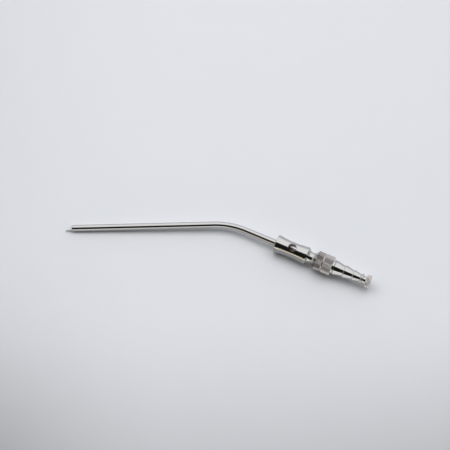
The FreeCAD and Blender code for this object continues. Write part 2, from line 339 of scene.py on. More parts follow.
@dataclass
class Outline:
    """An outline of (x, radius) points that is turned into a round piece.

    Corners may be rounded. Each run carries the kind of surface that it makes.
    """

    corners: list[tuple[float, float, float, Surface]] = field(default_factory=list)

    def to(self, *corners: tuple[float, ...], surface: Surface = Surface.POLISHED) -> Outline:
        """Draws straight runs from corner to corner.

        Args:
            corners: station and distance from the axis of each, and its arc's radius if rounded.
            surface: kind of surface of the runs.

        Returns:
            The outline itself, so that calls can be chained.
        """
        for x, radius, *rounding in corners:
            self.corners.append((x, radius, rounding[0] if rounding else 0.0, surface))
        return self

    def run(self, x: float, radius: float, steps: int, surface: Surface = Surface.POLISHED) -> Outline:
        """Draws a straight run as several equal steps.

        Args:
            x: station of the run's end.
            radius: distance of its end from the axis.
            steps: number of steps.
            surface: kind of surface of the run.

        Returns:
            The outline itself.
        """
        start_x, start = self.corners[-1][:2]
        parts = np.linspace(0, 1, steps + 1)[1:]
        points = ((start_x + (x - start_x) * part, start + (radius - start) * part) for part in parts)
        return self.to(*points, surface=surface)

    def knurled(self, knurl: Knurl, end: float) -> Outline:
        """Draws a knurled land up to its end, with one step for each row of the mesh."""
        return self.run(end, knurl.radius, knurl.rows(end - knurl.start), Surface.KNURLED)

    def arc(self, centre: Span, turn: float, steps: int) -> Outline:
        """Draws a polished arc from the last point about a centre.

        Args:
            centre: the arc's centre as (x, radius).
            turn: angle swept, positive from x towards radius, in radians.
            steps: number of straight steps.

        Returns:
            The outline itself.
        """
        middle = complex(*centre)
        spoke = complex(*self.corners[-1][:2]) - middle
        for angle in np.linspace(0, turn, steps + 1)[1:]:
            point = middle + spoke * complex(math.cos(angle), math.sin(angle))
            self.to((point.real, point.imag))
        return self

    def joined(self) -> Outline:
        """Drops the last point, which repeats the first."""
        return Outline(self.corners[:-1])

    def drawn(self, closed: bool, steps: int = 4) -> tuple[Array, Array]:
        """Works out the outline's points with its corners rounded by arcs.

        Args:
            closed: whether the last point joins the first.
            steps: number of steps in a rounded corner.

        Returns:
            The points as an array of (x, radius) rows, and each point's kind of surface.
        """
        corners = np.array([corner[:2] for corner in self.corners], float)
        points: list[Array] = []
        kinds: list[int] = []
        for number, (corner, (_, _, rounding, kind)) in enumerate(zip(corners, self.corners)):
            row = corner[None]
            if rounding > 0 and (closed or 0 < number < len(corners) - 1):
                after = corners[(number + 1) % len(corners)]
                start, centre, end, _ = corner_arc(corners[number - 1], corner, after, rounding)
                parts = np.linspace(0, 1, steps + 1)[:, None]
                spokes = (start - centre) * (1 - parts) + (end - centre) * parts
                row = centre + spokes * rounding / np.linalg.norm(spokes, axis=1, keepdims=True)
            points.append(row)
            kinds += [kind] * len(row)
        return np.concatenate(points), np.array(kinds)


def braze_outline(x: float, rod: float, leg: float) -> Outline:
    """Outline of a concave braze fillet between a rod and the face at x, on the side of lower x.

    Args:
        x: station of the face.
        rod: the rod's radius.
        leg: length of the fillet along the rod and out over the face.

    Returns:
        The closed outline.
    """
    return Outline().to((x, rod), (x - leg, rod)).arc((x - leg, rod + leg), -math.pi / 2, 8)


# --------------------------------------------------------------------------- paths


class StraightPath:
    """The handle's axis: stations along +X. Other paths work in the same way."""

    def at(self, stations: Array) -> tuple[Array, Array, Array]:
        """Finds the centres and two cross directions at some stations.

        Args:
            stations: distances along the path.

        Returns:
            Centres, and the unit vectors for angle 0 (up) and for a quarter turn.
        """
        zeros, ones = np.zeros_like(stations), np.ones_like(stations)
        columns = ((stations, zeros, zeros), (zeros, zeros, ones), (zeros, -ones, zeros))
        return tuple(np.stack(column, 1) for column in columns)


AXIS = StraightPath()


@dataclass(frozen=True)
class BentPath(StraightPath):
    """The bent tube's centreline: stations grow from the handle's face towards the tip."""

    sizes: TubeSizes

    def at(self, stations: Array) -> tuple[Array, Array, Array]:
        """Finds the centres and two cross directions at some stations.

        The heading turns in proportion to the distance inside the bend. Before and after it
        the path is straight. The centre is the bend's start, plus the arc's chord, plus what
        is left over along the last heading.
        """
        leg, radius, bend = self.sizes.handle_leg, self.sizes.bend_radius, self.sizes.bend
        past = stations - leg
        angle = np.clip(past / radius, 0, bend)
        after = np.maximum(past - bend * radius, 0)
        x = -leg - np.minimum(past, 0) - radius * np.sin(angle) - after * np.cos(angle)
        y = -radius * (1 - np.cos(angle)) - after * np.sin(angle)
        zeros = np.zeros_like(x)
        up = np.stack([zeros, zeros, np.ones_like(x)], 1)
        return np.stack([x, y, zeros], 1), up, np.stack([-np.sin(angle), np.cos(angle), zeros], 1)


class PointPath(StraightPath):
    """A path through finely spaced points, with stations along it."""

    def __init__(self, points: Array) -> None:
        """Keeps the points and measures them.

        Args:
            points: places in the handle's frame, one to a row.
        """
        self.points = points
        lengths = np.linalg.norm(np.diff(points, axis=0), axis=1)
        self.stations = np.concatenate([[0], np.cumsum(lengths)])
        headings = np.gradient(points, axis=0)
        self.headings = headings / np.linalg.norm(headings, axis=1, keepdims=True)

    def at(self, stations: Array) -> tuple[Array, Array, Array]:
        """Finds the centres and two cross directions at some stations.

        The quarter-turn direction is square to the heading and level in the handle's frame.
        """
        centres, heading = (
            np.stack([np.interp(stations, self.stations, column) for column in table.T], 1)
            for table in (self.points, self.headings)
        )
        level = np.cross(np.array([0.0, 0.0, 1.0]), heading)
        level /= np.linalg.norm(level, axis=1, keepdims=True)
        up = np.cross(heading, level)
        return centres, up / np.linalg.norm(up, axis=1, keepdims=True), level


def straight_points(start: Array, end: Array, spacing: float) -> Array:
    """Evenly spaced points from start up to, but not with, end."""
    steps = max(1, math.ceil(float(np.linalg.norm(end - start)) / spacing))
    parts = np.linspace(0, 1, steps + 1)[:-1, None]
    return start * (1 - parts) + end * parts


def rounded_route(corners: Sequence[Array], radii: Sequence[float], spacing: float) -> Array:
    """Points along straight runs that are joined by tangent arcs.

    A point of an arc is its centre, less the radius times the inward vector turned by the
    swept angle towards the run that comes in.

    Args:
        corners: the route's corners, ends included.
        radii: one arc radius for each inner corner.
        spacing: largest distance between points.

    Returns:
        Points along the route, one to a row.
    """
    pieces: list[Array] = []
    last = corners[0]
    for before, corner, after, radius in zip(corners, corners[1:], corners[2:], radii):
        start, centre, end, inward = corner_arc(before, corner, after, radius)
        pieces.append(straight_points(last, start, spacing))
        half_turn = math.atan(float(np.linalg.norm(start - corner)) / radius)
        steps = max(2, math.ceil(2 * half_turn * radius / spacing))
        sweep = np.linspace(-half_turn, half_turn, steps + 1)[:-1, None]
        across = (start - end) / np.linalg.norm(start - end)
        pieces.append(centre - radius * (inward * np.cos(sweep) + across * np.sin(sweep)))
        last = end
    pieces.append(straight_points(last, corners[-1], spacing))
    pieces.append(corners[-1][None])
    return np.concatenate(pieces)


# --------------------------------------------------------------------------- surfaces


@dataclass(frozen=True)
class Knurl:
    """Diamond knurling: V grooves along two crossing helices round a ring.

    Attributes:
        count: diamonds round the ring.
        radius: the ring's radius.
        depth: depth of the grooves.
        start: station at which a row of diamonds starts.
        cells: rows of the mesh in a diamond.
        worn: how far the diamonds' tips are worn down.
    """

    count: int
    radius: float
    depth: float
    start: float
    cells: int = 6
    worn: float = 0.01

    @property
    def pitch(self) -> float:
        """Width of a diamond, the same round the ring and along it."""
        return 2 * math.pi * self.radius / self.count

    @property
    def around(self) -> int:
        """Number of mesh points round the ring, so that grooves run through them."""
        return self.cells * self.count

    def rows(self, length: float) -> int:
        """Number of mesh rows along a ring of some length."""
        return round(length / (self.pitch / self.cells))

    def drop(self, stations: Array, radii: Array, angles: Array) -> Array:
        """Finds how far below the ring's surface the points lie.

        Each family of grooves is a triangle wave of x plus or minus the way round, 0 in its
        grooves and 1 half way between them. The lower wave of the two rules. Points off the
        ring stay where they are.

        Args:
            stations: x of each point.
            radii: distance of each point from the axis.
            angles: angle of each point about the axis.

        Returns:
            The depths, least on the diamonds' tips.
        """
        across = self.count * angles / (2 * math.pi)
        along = (stations - self.start) / self.pitch
        first, second = ((wave - np.floor(wave)) for wave in (across + along, across - along))
        ridge = np.minimum(1 - np.abs(2 * first - 1), 1 - np.abs(2 * second - 1))
        return np.where(radii > self.radius - HAIR, self.worn + self.depth * (1 - ridge), 0.0)


@dataclass(frozen=True)
class Thread:
    """A screw thread on a spigot: a rounded ridge along one right-hand helix."""

    radius: float
    start: float
    end: float
    pitch: float
    depth: float
    flat: float = 1.15

    def drop(self, stations: Array, radii: Array, angles: Array) -> Array:
        """Finds how far below the thread's crest the points lie.

        The ridge is a triangle wave of x minus the share of a turn, cut flat at its top. It
        runs out within half a pitch of either end. Points off the spigot stay where they are.

        Args:
            stations: x of each point.
            radii: distance of each point from the axis.
            angles: angle of each point about the axis.

        Returns:
            The depths.
        """
        turns = (stations - self.start) / self.pitch
        phase = turns - angles / (2 * math.pi)
        wave = 1 - np.abs(2 * (phase - np.floor(phase)) - 1)
        left = (self.end - stations) / self.pitch
        ridge = np.minimum(wave * self.flat, 1) * np.clip(left * 2, 0, 1) * np.clip(turns * 2, 0, 1)
        return np.where(np.abs(radii - self.radius) < HAIR, self.depth * (1 - ridge), 0.0)


@dataclass
class Skin:
    """A mesh under construction: its points, faces and what each face or point carries."""

    points: Array
    faces: Array
    kinds: Array
    uvs: Array
    depths: Array


def carried(
    outline: Outline,
    around: int,
    path: StraightPath = AXIS,
    closed: bool = True,
    relief: Callable[[Array, Array, Array], Array] | None = None,
) -> Skin:
    """Carries an outline round a path.

    Point (i, j) is the path's centre at x_i, plus r_ij times the unit vector at angle j,
    cos(a_j) up plus sin(a_j) level. r_ij is the outline's radius less the relief's depth
    there, which is kept as the point's own.

    Args:
        outline: the outline, whose x is a station of the path.
        around: number of points round the path.
        path: gives the centres and cross directions.
        closed: whether the outline is a closed loop. If not, it starts and ends on the path.
        relief: depth of a pattern cut into the surface, from stations, radii and angles.

    Returns:
        The skin in the handle's frame.
    """
    rows, row_kinds = outline.drawn(closed)
    centres, up, level = path.at(rows[:, 0])
    angles = 2 * math.pi * np.arange(around) / around
    radii = np.repeat(rows[:, 1:], around, axis=1)
    depths = np.zeros_like(radii)
    if relief is not None:
        depths = relief(rows[:, :1], radii, angles[None])
    spokes = up[:, None] * np.cos(angles)[None, :, None] + level[:, None] * np.sin(angles)[None, :, None]
    points = (centres[:, None] + spokes * (radii - depths)[..., None]).reshape(-1, 3)

    count = len(rows)
    grid = np.arange(count * around).reshape(count, around)
    below = np.roll(grid, -1, axis=0) if closed else grid[1:]
    above = grid if closed else grid[:-1]
    kinds = np.roll(row_kinds, -1) if closed else row_kinds[1:]
    quads = np.stack([above, below, np.roll(below, -1, axis=1), np.roll(above, -1, axis=1)], axis=-1)
    diagonal = ((np.arange(around)[None] + np.arange(len(quads))[:, None] + 1) % 2 == 0)[..., None]
    first = np.where(diagonal, quads[..., [0, 1, 3]], quads[..., [0, 1, 2]])
    second = np.where(diagonal, quads[..., [1, 2, 3]], quads[..., [0, 2, 3]])
    faces = np.stack([first, second], axis=2).reshape(-1, 3)
    along = np.repeat(rows[:, :1], around, axis=1) * MM
    uvs = np.stack([along, np.repeat(angles[None], count, axis=0)], axis=-1).reshape(-1, 2)
    skin = Skin(points, faces, np.repeat(kinds, 2 * around), uvs, depths.reshape(-1))
    return skin if closed else with_poles(skin, around)


def with_poles(skin: Skin, around: int) -> Skin:
    """Joins all the points of the first row into one, and all those of the last.

    Args:
        skin: the skin, whose first and last rows lie on the path.
        around: number of points in a row.

    Returns:
        The skin without faces and points that the joining makes useless.
    """
    names = np.arange(len(skin.points))
    names[:around] = 0
    names[-around:] = len(names) - around
    faces = names[skin.faces]
    whole = (faces != np.roll(faces, 1, axis=1)).all(axis=1)
    used, packed = np.unique(faces[whole], return_inverse=True)
    packed = packed.reshape(-1, 3)
    return Skin(skin.points[used], packed, skin.kinds[whole], skin.uvs[used], skin.depths[used])


# --------------------------------------------------------------------------- shader graphs


class Value:
    """A number that a shader works out. Its operators add Math nodes to the graph."""

    def __init__(self, graph: Graph, socket: bpy.types.NodeSocket) -> None:
        """Wraps an output socket of a graph."""
        self.graph = graph
        self.socket = socket

    def _math(self, operation: str, *terms: Value | float) -> Value:
        """Adds one Math node with the given terms."""
        node = self.graph.add("Math", {"operation": operation}, dict(enumerate(terms)))
        return Value(self.graph, node.outputs[0])

    def __add__(self, other: Value | float) -> Value:
        """Sum."""
        return self._math("ADD", self, other)

    __radd__ = __add__

    def __sub__(self, other: Value | float) -> Value:
        """Difference."""
        return self._math("SUBTRACT", self, other)

    def __rsub__(self, other: float) -> Value:
        """Difference from a number."""
        return self._math("SUBTRACT", other, self)

    def __mul__(self, other: Value | float) -> Value:
        """Product."""
        return self._math("MULTIPLY", self, other)

    __rmul__ = __mul__

    def __neg__(self) -> Value:
        """The same number with the other sign."""
        return self * -1.0

    def angle_from(self, other: Value) -> Value:
        """Angle of the point (other, self), in radians."""
        return self._math("ARCTAN2", self, other)

    def stepped(self, low: float, high: float, start: float = 0.0, end: float = 1.0) -> Value:
        """Steps smoothly from start to end while this number goes from low to high."""
        sockets = {0: self, 1: low, 2: high, 3: start, 4: end}
        node = self.graph.add("MapRange", {"interpolation_type": "SMOOTHSTEP"}, sockets)
        return Value(self.graph, node.outputs[0])


class Graph:
    """The shader of a material or a world, built by one method."""

    def __init__(self, owner: bpy.types.Material | bpy.types.World) -> None:
        """Starts from an empty tree of a material or world."""
        owner.use_nodes = True
        self.tree = owner.node_tree
        self.tree.nodes.clear()

    def add(
        self, kind: str, settings: dict[str, Any] | None = None, inputs: dict[int | str, Any] | None = None
    ) -> bpy.types.Node:
        """Adds a node, sets it and feeds it.

        Args:
            kind: Blender's name of the shader node's type.
            settings: properties, set first. "stops" holds a ramp's (position, colour) pairs.
            inputs: a number, colour, Value or output socket for each input, by name or number.

        Returns:
            The new node.
        """
        node = self.tree.nodes.new("ShaderNode" + kind)
        for name, setting in (settings or {}).items():
            if name == "stops":
                self._set_stops(node.color_ramp, setting)
            else:
                setattr(node, name, setting)
        for key, given in (inputs or {}).items():
            given = given.socket if isinstance(given, Value) else given
            if isinstance(given, bpy.types.NodeSocket):
                self.tree.links.new(given, node.inputs[key])
            else:
                node.inputs[key].default_value = given
        return node

    @staticmethod
    def _set_stops(ramp: bpy.types.ColorRamp, stops: Sequence[tuple[float, Colour]]) -> None:
        """Gives a new ramp its stops, which are in rising order."""
        while len(ramp.elements) > 1:
            ramp.elements.remove(ramp.elements[-1])
        for number, (position, colour) in enumerate(stops):
            element = ramp.elements[0] if number == 0 else ramp.elements.new(position)
            element.position = position
            element.color = (*colour, 1.0)

    def value(self, kind: str, output: int | str = 0, inputs: dict[int | str, Any] | None = None) -> Value:
        """Adds a node and wraps one of its outputs."""
        return Value(self, self.add(kind, {}, inputs).outputs[output])

    def split(self, vector: bpy.types.NodeSocket) -> list[Value]:
        """Takes a vector apart into its three numbers."""
        return [Value(self, part) for part in self.add("SeparateXYZ", {}, {0: vector}).outputs]

    def noise(
        self, vector: bpy.types.NodeSocket, scale: float, detail: float = 2.0, rough: float = 0.5
    ) -> Value:
        """Noise around 0.5 on the given coordinates."""
        sockets = {"Vector": vector, "Scale": scale, "Detail": detail, "Roughness": rough}
        return self.value("TexNoise", 0, sockets)

    def mixed(self, factor: Value, first: Tint, second: Tint) -> bpy.types.NodeSocket:
        """Mixes two colours."""
        first, second = ((*tint, 1.0) if isinstance(tint, tuple) else tint for tint in (first, second))
        node = self.add("Mix", {"data_type": "RGBA"}, {0: factor, 6: first, 7: second})
        return node.outputs[2]

    def mapped(
        self, vector: bpy.types.NodeSocket, scale: Colour, turn: Colour = BLACK
    ) -> bpy.types.NodeSocket:
        """Turns, then scales coordinates."""
        turned = self.add("Mapping", {}, {"Vector": vector, "Rotation": turn}).outputs[0]
        node = self.add("VectorMath", {"operation": "MULTIPLY"}, {0: turned, 1: scale})
        return node.outputs[0]

    def finish(self, height: Value | None = None, strength: float = 1.0, **sockets: Any) -> None:
        """Ends a material with a Principled shader.

        Args:
            height: height of its bumps in metres, if it has any.
            strength: how strongly they show.
            sockets: the shader's inputs, with _ for a space in their names.
        """
        inputs = {name.replace("_", " "): given for name, given in sockets.items()}
        if height is not None:
            bump = {"Strength": strength, "Distance": 1.0, "Height": height}
            inputs["Normal"] = self.add("Bump", {}, bump).outputs[0]
        shader = self.add("BsdfPrincipled", {}, inputs)
        self.add("OutputMaterial", {}, {"Surface": shader.outputs[0]})


# --------------------------------------------------------------------------- finishes


@dataclass(frozen=True)
class Steel:
    """Stainless steel: its polish, the marks of its making and what has settled on it.

    Attributes:
        name: the material's name.
        colour: reflected colour of the clean metal.
        soil: colour where the metal is stained and in its deeper grooves, and on the wire painted shade.
        roughness: of the clean metal.
        smear: how much faint smears add to the roughness.
        marks: height of turning or drawing marks, in metres.
        along: whether the marks run along the piece (drawn) or round it (turned).
        stain: share of stained metal, 0 to 1.
        silted_from: row x in metres beyond which the piece takes its dark colour all over as painted shade,
            if it is.
    """

    name: str
    colour: Colour
    soil: Colour
    roughness: float
    smear: float = 0.06
    marks: float = 1.2e-7
    along: bool = False
    stain: float = 0.15
    silted_from: float | None = None
    silt_edge: float = 0.005
    mark_wear: float = 0.06
    soil_wear: float = 0.12

    def build(self, place: HandleFrame) -> bpy.types.Material:
        """Makes the material.

        Turned marks are noise that changes fast along the handle's axis and hardly across it.
        Drawn marks are noise on the piece's own map: fast round it and slow along it.

        Args:
            place: the handle's frame, along which turned marks lie.

        Returns:
            The material.
        """
        material = bpy.data.materials.new(self.name)
        graph = Graph(material)
        coordinates = graph.add("TexCoord")
        spot = coordinates.outputs["Object"]
        if self.along:
            lines = graph.mapped(coordinates.outputs["UV"], (60.0, 16.0, 1.0))
        else:
            lines = graph.mapped(spot, (9000.0, 160.0, 160.0), place.euler())
        marks = graph.noise(lines, 1.0, 3.0, 0.6)
        fine = graph.noise(spot, 2600.0, 2.0, 0.6)
        smears = graph.noise(spot, 210.0, 3.0, 0.55).stepped(0.42, 0.68)
        stains = graph.noise(spot, 420.0, 4.0, 0.6).stepped(0.56, 0.74)
        groove = Value(graph, graph.add("Attribute", {"attribute_name": "groove"}).outputs["Fac"])
        soil_and_painted_shade = groove.stepped(0.25, 1.0, 0.0, 0.85) + stains * self.stain
        # Painted shade: past this row x the wire turns to its dark colour all over, where it runs unseen
        # inside the handle.
        if self.silted_from is not None:
            x = graph.split(spot)[0]
            soil_and_painted_shade = soil_and_painted_shade + x.stepped(self.silted_from, self.silted_from + self.silt_edge)
        plain = marks * self.mark_wear + (self.roughness - self.mark_wear / 2)
        graph.finish(
            marks * self.marks + fine * (0.35 * self.marks),
            Base_Color=graph.mixed(soil_and_painted_shade, self.colour, self.soil),
            Metallic=1.0,
            Roughness=smears * self.smear + plain + soil_and_painted_shade * self.soil_wear,
        )
        return material


@dataclass(frozen=True)
class BoredSteel:
    """Inside of a drilled hole: coarse drill marks, a dull film in patches, painted light and painted shade
    below.

    Attributes:
        name: the material's name.
        colour: the metal's colour, near white and brighter than steel, as painted light inside the dim
            bore.
        film: colour of the film in it.
        silt: colour of the painted shade on the bore's floor.
        clean_height: height in metres over which there is no painted shade.
        edge: height in metres over which the painted shade thins out.
        cover: how much of the metal the darkest painted shade hides.
        patches: how much of it the film hides.
        roughness: of the clean metal.
        dullness: how much the film adds to it.
        ring_height: height of the drill marks, in metres.
        film_height: thickness of the film, in metres.
    """

    name: str
    colour: Colour
    film: Colour
    silt: Colour
    clean_height: float = 0.0038
    edge: float = 0.0009
    cover: float = 0.96
    patches: float = 0.3
    roughness: float = 0.15
    dullness: float = 0.2
    ring_height: float = 2.5e-5
    film_height: float = 6e-6

    def build(self, place: HandleFrame) -> bpy.types.Material:
        """Makes the material.

        Args:
            place: the handle's frame, along which the drill marks lie.

        Returns:
            The material.
        """
        material = bpy.data.materials.new(self.name)
        graph = Graph(material)
        spot = graph.add("TexCoord").outputs["Object"]
        height = graph.split(spot)[2]
        blotches = graph.noise(spot, 2600.0, 3.0, 0.6).stepped(0.48, 0.66)
        # Painted shade: low in the bores the colour turns near black, standing in for the dark floor of the
        # cavity.
        deep = height.stepped(self.clean_height - self.edge, self.clean_height, self.cover, 0.0)
        # Painted light: the wall's near-white metal colour stands in for light that barely reaches inside.
        wall = graph.mixed(blotches * self.patches, self.colour, self.film)
        rings = graph.noise(graph.mapped(spot, (2600.0, 300.0, 300.0), place.euler()), 1.0, 2.0)
        graph.finish(
            rings * self.ring_height + blotches * self.film_height,
            Base_Color=graph.mixed(deep, wall, self.silt),
            Metallic=1.0,
            Roughness=blotches * self.dullness + self.roughness,
        )
        return material


@dataclass(frozen=True)
class Rubber:
    """Matt black rubber with a faint bloom."""

    name: str
    colour: Colour
    bloom: Colour
    roughness: float = 0.45
    grain_height: float = 4e-6

    def build(self, place: HandleFrame) -> bpy.types.Material:
        """Makes the material.

        Args:
            place: not used, since rubber has no lathe marks.

        Returns:
            The material.
        """
        material = bpy.data.materials.new(self.name)
        graph = Graph(material)
        spot = graph.add("TexCoord").outputs["Object"]
        grain = graph.noise(spot, 6000.0, 3.0, 0.6)
        patches = graph.noise(spot, 700.0, 2.0).stepped(0.4, 0.8)
        graph.finish(
            grain * self.grain_height,
            0.6,
            Base_Color=graph.mixed(patches, self.colour, self.bloom),
            Roughness=grain * 0.2 + self.roughness,
        )
        return material


STEEL = (0.47, 0.466, 0.458)
SMEARED = (0.42, 0.39, 0.35)


class Finish(Enum):
    """The finishes of the instrument."""

    POLISHED = Steel("polished steel", STEEL, SMEARED, 0.1)
    DRAWN = Steel("drawn steel", STEEL, SMEARED, 0.05, smear=0.02, along=True, marks=8e-8)
    KNURLED = Steel(
        "knurled steel", (0.45, 0.425, 0.415), (0.19, 0.165, 0.155), 0.15, marks=4e-7, stain=0.3
    )
    MATT = Steel("matt steel", (0.75, 0.735, 0.73), (0.38, 0.33, 0.3), 0.3, marks=6e-7, stain=0.3)
    # Bored metal: near white as painted light, near black low down as painted shade.
    BORED = BoredSteel("bored steel", (0.99, 0.97, 0.99), (0.55, 0.46, 0.45), (0.12, 0.088, 0.074))
    # The wire turns dark inside the handle as painted shade.
    WIRE = Steel(
        "wire steel", (0.5, 0.49, 0.475), (0.13, 0.1, 0.085), 0.22, marks=2e-7, along=True, silted_from=0.03
    )
    BRAZE = Steel("silver braze", (0.66, 0.62, 0.53), (0.4, 0.33, 0.24), 0.2, marks=2e-6, stain=0.5)
    RUBBER = Rubber("seal rubber", (0.02, 0.02, 0.021), (0.05, 0.05, 0.052))


# --------------------------------------------------------------------------- pieces


class Workshop:
    """Turns skins into the scene's objects and puts each one on its body in place of a node."""

    def __init__(self, place: HandleFrame, crease: float = math.radians(28.0)) -> None:
        """Makes every finish once.

        Args:
            place: the handle's frame.
            crease: angle between faces from which an edge is sharp, in radians.
        """
        self.place = place
        self.crease = crease
        self.materials = {finish: finish.value.build(place) for finish in Finish}

    def make(self, name: str, skin: Skin, *finishes: Finish) -> bpy.types.Object:
        """Makes a smooth-shaded object with creases where the skin turns sharply.

        Args:
            name: the object's name.
            skin: the skin, in the handle's frame.
            finishes: one finish for each kind of surface, in the order of Surface.

        Returns:
            The object, with its place in its mesh.
        """
        first, second, third = (skin.points[skin.faces[:, number]] for number in range(3))
        inside_out = float(np.einsum("ij,ij->", first, np.cross(second, third))) < 0
        faces = skin.faces[:, ::-1] if inside_out else skin.faces
        mesh = bpy.data.meshes.new(name)
        mesh.vertices.add(len(skin.points))
        mesh.loops.add(faces.size)
        mesh.polygons.add(len(faces))
        mesh.vertices.foreach_set("co", self.place.place(skin.points).astype(np.float32).ravel())
        mesh.loops.foreach_set("vertex_index", faces.astype(np.int32).ravel())
        mesh.polygons.foreach_set("loop_start", np.arange(0, faces.size, 3, dtype=np.int32))
        mesh.polygons.foreach_set("material_index", skin.kinds.astype(np.int32))
        mesh.update(calc_edges=True)
        corners = skin.uvs[faces.ravel()].reshape(-1, 3, 2)
        seam = np.ptp(corners[..., 1], axis=1) > math.pi
        corners[seam, :, 1] += np.where(corners[seam, :, 1] < math.pi, 2 * math.pi, 0.0)
        layer = mesh.uv_layers.new(name="along and round")
        layer.data.foreach_set("uv", corners.astype(np.float32).ravel())
        groove = mesh.attributes.new("groove", "FLOAT", "POINT")
        deepest = max(float(skin.depths.max()), HAIR)
        groove.data.foreach_set("value", (skin.depths / deepest).astype(np.float32))
        for finish in finishes:
            mesh.materials.append(self.materials[finish])
        mesh.validate()
        mesh.shade_smooth()
        mesh.set_sharp_from_angle(angle=self.crease)
        piece = bpy.data.objects.new(name, mesh)
        bpy.context.scene.collection.objects.link(piece)
        LOG.info("%s: %d faces", name, len(mesh.polygons))
        return piece

    def install(self, piece: bpy.types.Object, node: str, body: str, slot: str) -> None:
        """Puts a piece on its body in place of the construction's node."""
        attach(piece, body)
        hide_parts(node)


@dataclass
class TubeAssembly:
    """The bent suction tube with its bush and braze."""

    shop: Workshop
    sizes: TubeSizes = field(default_factory=TubeSizes)
    around: int = 96

    def build(self) -> None:
        """Makes and installs the three pieces."""
        skin = carried(self._tube(), self.around, BentPath(self.sizes))
        piece = self.shop.make("bent_tube", skin, Finish.DRAWN, Finish.BORED)
        self.shop.install(piece, "suction_tube", "handle", "tube_steel")
        piece = self.shop.make("bush_ring", carried(self._bush(), self.around), Finish.POLISHED)
        self.shop.install(piece, "tube_bush", "handle", "handle_steel")
        fillet = braze_outline(0, self.sizes.radius, self.sizes.braze_leg)
        piece = self.shop.make("front_braze", carried(fillet, self.around), Finish.BRAZE)
        self.shop.install(piece, "tube_braze", "handle", "silver_braze")

    def _tube(self) -> Outline:
        """Draws the tube: outer wall, rim turned in as a quarter ellipse, and bore.

        The bore is marked as the second kind of surface, since the tube has only two finishes.
        """
        sizes = self.sizes
        start, bend_end = sizes.handle_leg, sizes.length - sizes.tip_leg
        rim = sizes.length - sizes.lip_length
        outline = Outline().to((-sizes.seat, sizes.bore), (-sizes.seat, sizes.radius))
        outline.run(start, sizes.radius, 24).run(bend_end, sizes.radius, 72).run(rim, sizes.radius, 80)
        for angle in np.linspace(0, math.pi / 2, 11)[1:]:
            drop = sizes.lip_drop * (1 - math.cos(angle))
            outline.to((rim + sizes.lip_length * math.sin(angle), sizes.radius - drop))
        outline.to((sizes.length, sizes.bore, sizes.rim_round))
        for station, steps in ((rim, 1), (bend_end, 40), (start, 48), (-sizes.seat, 8)):
            outline.run(station, sizes.bore, steps, Surface.KNURLED)
        return outline.joined()

    def _bush(self) -> Outline:
        """Draws the bush round the tube inside the handle."""
        sizes = self.sizes
        outer, edge = sizes.bush_radius, sizes.bush_round
        outline = Outline().to((0, sizes.radius), (0, outer, edge))
        return outline.to((sizes.seat, outer, edge), (sizes.seat, sizes.radius))


